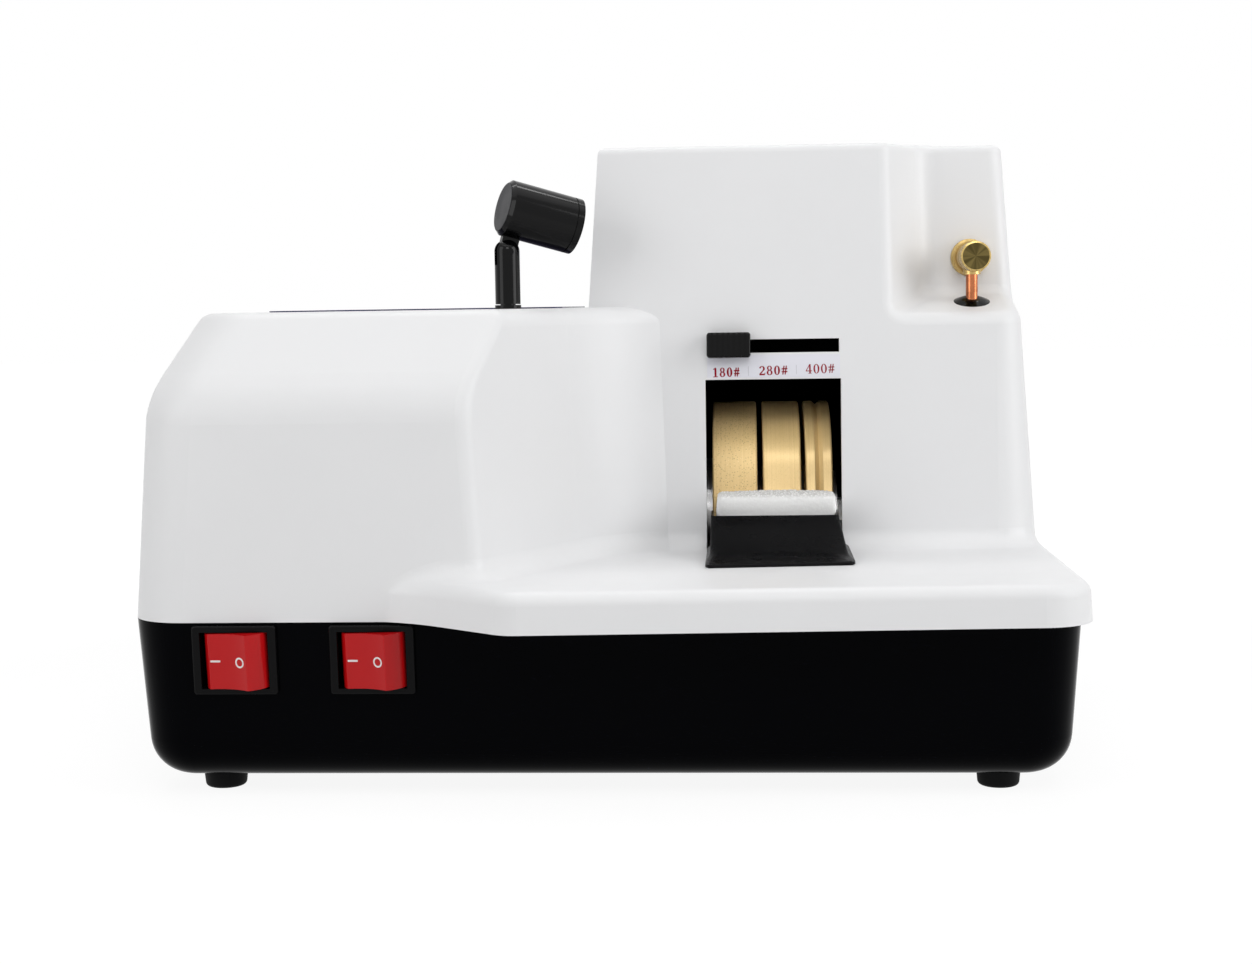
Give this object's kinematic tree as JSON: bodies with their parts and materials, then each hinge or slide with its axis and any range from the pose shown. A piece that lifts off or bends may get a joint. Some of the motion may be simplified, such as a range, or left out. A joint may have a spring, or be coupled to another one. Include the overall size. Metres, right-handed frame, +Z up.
{
  "type": "lens edger",
  "caption": "Bench lens edger: black tray, white stepped cover, grinding wheels in a front window, sponge, water valve, swivel lamp and rocker switches.",
  "frame": {"origin": "on the bench, under the middle of the machine's overall box", "axes": "+X operator's right, +Y away from the operator, +Z up"},
  "size_m": [0.348, 0.3228, 0.2443],
  "materials": {
    "black_gloss": "glossy moulded",
    "white_shell": "satin moulded",
    "black_matte": "fine grain",
    "red_gloss": "translucent gloss",
    "black_rubber": "matte",
    "brass": "turned",
    "copper": "drawn tube",
    "zinc_steel": "plated",
    "motor_aluminium": "cast",
    "motor_iron": "laminated",
    "sponge_white": "open cell",
    "label_white": "printed",
    "film_dark": "printed film",
    "tank_clear": "natural polythene",
    "lens_clear": "clear",
    "lamp_black": "gloss black",
    "board_white": "plain"
  },
  "bodies": {
    "case": {"base_tray": "black_gloss", "bearings": "zinc_steel", "capacitor": "label_white", "capacitor_clip": "zinc_steel", "copper_pipe": "copper", "cover": "white_shell", "cover_screws": "zinc_steel", "drain_spout": "black_matte", "drip_tube": "zinc_steel", "foot_screws": "zinc_steel", "inlet_pins": "zinc_steel", "inlet_screws": "zinc_steel", "lamp_bush": "lamp_black", "lamp_bush_nut": "zinc_steel", "lamp_driver": "black_matte", "motor_cradle": "zinc_steel", "motor_end_bells": "motor_aluminium", "motor_housing": "motor_aluminium", "motor_screws": "zinc_steel", "motor_straps": "zinc_steel", "pipe_grommet": "black_rubber", "power_inlet": "black_matte", "rubber_feet": "black_rubber", "scale_label": "label_white", "shaft_seal": "black_rubber", "sponge": "sponge_white", "sponge_holder": "black_matte", "stator": "motor_iron", "switch_left": "black_matte", "switch_right": "black_matte", "top_film": "film_dark", "valve_body": "brass", "valve_nut": "brass", "water_tank": "tank_clear", "wheel_chamber": "black_matte"},
    "spindle": {"spindle_shaft": "zinc_steel", "rotor": "motor_iron", "wheel_hub": "motor_aluminium", "wheel_180": "brass", "wheel_280": "brass", "wheel_400": "brass", "wheel_spacers": "zinc_steel", "hub_washer": "zinc_steel", "wheel_nut": "zinc_steel"},
    "water_slider": {"slider": "black_matte"},
    "valve_handle": {"valve_knob": "brass"},
    "left_rocker": {"rocker_left": "red_gloss"},
    "right_rocker": {"rocker_right": "red_gloss"},
    "lamp_arm": {"lamp_post": "lamp_black", "lamp_pin": "zinc_steel"},
    "lamp_shade": {"lamp_head": "lamp_black", "lamp_lens": "lens_clear", "led_board": "board_white"},
    "lid": {"tank_lid": "white_shell"}
  },
  "joints": [
    {"name": "spindle_spin", "type": "hinge", "parent": "case", "child": "spindle", "pos_m": [0.06, 0.015, 0.087], "axis": [1, 0, 0], "continuous": true},
    {"name": "slider_slide", "type": "slide", "parent": "case", "child": "water_slider", "axis": [1, 0, 0], "range_m": [0, 0.0352]},
    {"name": "valve_turn", "type": "hinge", "parent": "case", "child": "valve_handle", "pos_m": [0.1445, -0.03, 0.196], "axis": [0, -1, 0], "range_deg": [0, 720]},
    {"name": "rocker_left_press", "type": "hinge", "parent": "case", "child": "left_rocker", "pos_m": [-0.13275, -0.12705, 0.05294], "axis": [0, -0.0698, 0.9976], "range_deg": [0, 30]},
    {"name": "rocker_right_press", "type": "hinge", "parent": "case", "child": "right_rocker", "pos_m": [-0.0825, -0.12705, 0.05294], "axis": [0, -0.0698, 0.9976], "range_deg": [0, 30]},
    {"name": "lamp_swivel", "type": "hinge", "parent": "case", "child": "lamp_arm", "pos_m": [-0.039, -0.06, 0.18], "axis": [0, 0, 1], "range_deg": [-150, 150]},
    {"name": "lamp_tilt", "type": "hinge", "parent": "lamp_arm", "child": "lamp_shade", "pos_m": [-0.039, -0.06, 0.2], "axis": [-0.4067, 0.9135, 0], "range_deg": [-75, 40]},
    {"name": "lid_lift", "type": "slide", "parent": "case", "child": "lid", "axis": [0, 0, 1], "range_m": [0, 0.03]}
  ]
}
